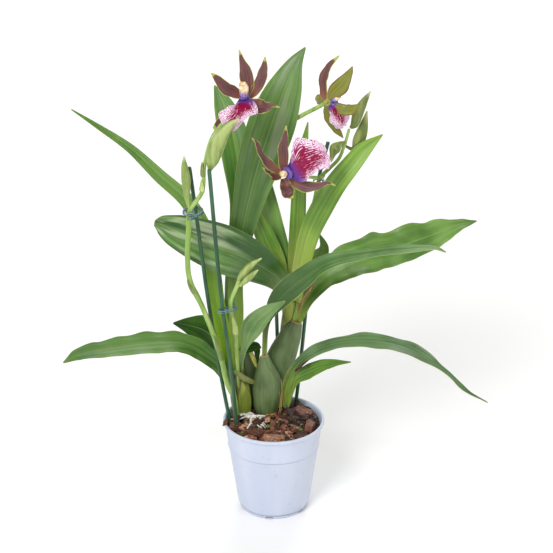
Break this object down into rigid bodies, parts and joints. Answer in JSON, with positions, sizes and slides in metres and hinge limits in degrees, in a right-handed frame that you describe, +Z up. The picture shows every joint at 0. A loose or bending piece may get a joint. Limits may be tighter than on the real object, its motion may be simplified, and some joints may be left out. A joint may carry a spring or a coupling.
{
  "type": "potted orchid",
  "caption": "Potted orchid in bloom: arching leaves, pseudobulbs, staked flower stalks with open flowers and buds, in a round pale nursery pot filled with bark.",
  "frame": {"origin": "centre of the pot's underside, on the surface that it rests on", "axes": "+Z up along the pot's axis, +X to the right as the plant is seen from the front, -Y towards the front, where the flowers face"},
  "size_m": [0.4796, 0.2654, 0.5632],
  "materials": {
    "pot": "smooth satin thermoformed plastic",
    "mix": "coarse damp bark",
    "chip": "rough bark",
    "bulb": "ribbed, waxy",
    "bulb_dark": "ribbed, waxy",
    "shoot": "waxy",
    "leaf": "satin with fine parallel veins",
    "leaf_pale": "satin with fine parallel veins",
    "leaf_dark": "satin with fine parallel veins",
    "stalk": "waxy",
    "bud": "waxy",
    "tepal": "fleshy satin petal",
    "lip": "velvety petal with radiating veins",
    "column": "waxy",
    "stake": "plastic coated stake",
    "clip": "coated wire"
  },
  "bodies": {
    "root": {"bark_chip_1": "chip", "bark_chip_2": "chip", "bark_chip_3": "chip", "bark_chip_4": "chip", "bark_chip_5": "chip", "bark_chip_6": "chip", "bud_front_1": "bud", "bud_front_2": "bud", "bud_left_1": "bud", "bud_left_2": "bud", "bud_right_1": "bud", "bud_right_2": "bud", "bud_right_3": "bud", "bulb_back": "bulb_dark", "bulb_front": "bulb", "bulb_right": "bulb", "clip_front": "clip", "clip_left": "clip", "clip_right": "clip", "crown_right": "shoot", "flower_front_column": "column", "flower_front_lip": "lip", "flower_front_tepals": "tepal", "flower_left_column": "column", "flower_left_lip": "lip", "flower_left_tepals": "tepal", "flower_right_column": "column", "flower_right_lip": "lip", "flower_right_tepals": "tepal", "leaf_big_right": "leaf", "leaf_broad_left": "leaf_pale", "leaf_dark_centre": "leaf_dark", "leaf_drooping_right": "leaf", "leaf_erect_middle": "leaf_pale", "leaf_erect_right": "leaf_pale", "leaf_front": "leaf", "leaf_long_right": "leaf", "leaf_low_dark": "leaf_dark", "leaf_low_left": "leaf", "leaf_narrow_left": "leaf", "leaf_pale_centre": "leaf_pale", "leaf_short_right": "leaf_dark", "leaf_small_right": "leaf", "leaf_tall": "leaf", "leaf_tall_left": "leaf_pale", "pot": "pot", "potting_mix": "mix", "shoot_left": "shoot", "stake_front": "stake", "stake_left": "stake", "stake_middle": "stake", "stake_right": "stake", "stalk_front": "stalk", "stalk_left": "stalk", "stalk_middle": "stalk", "stalk_right": "stalk"}
  },
  "joints": []
}
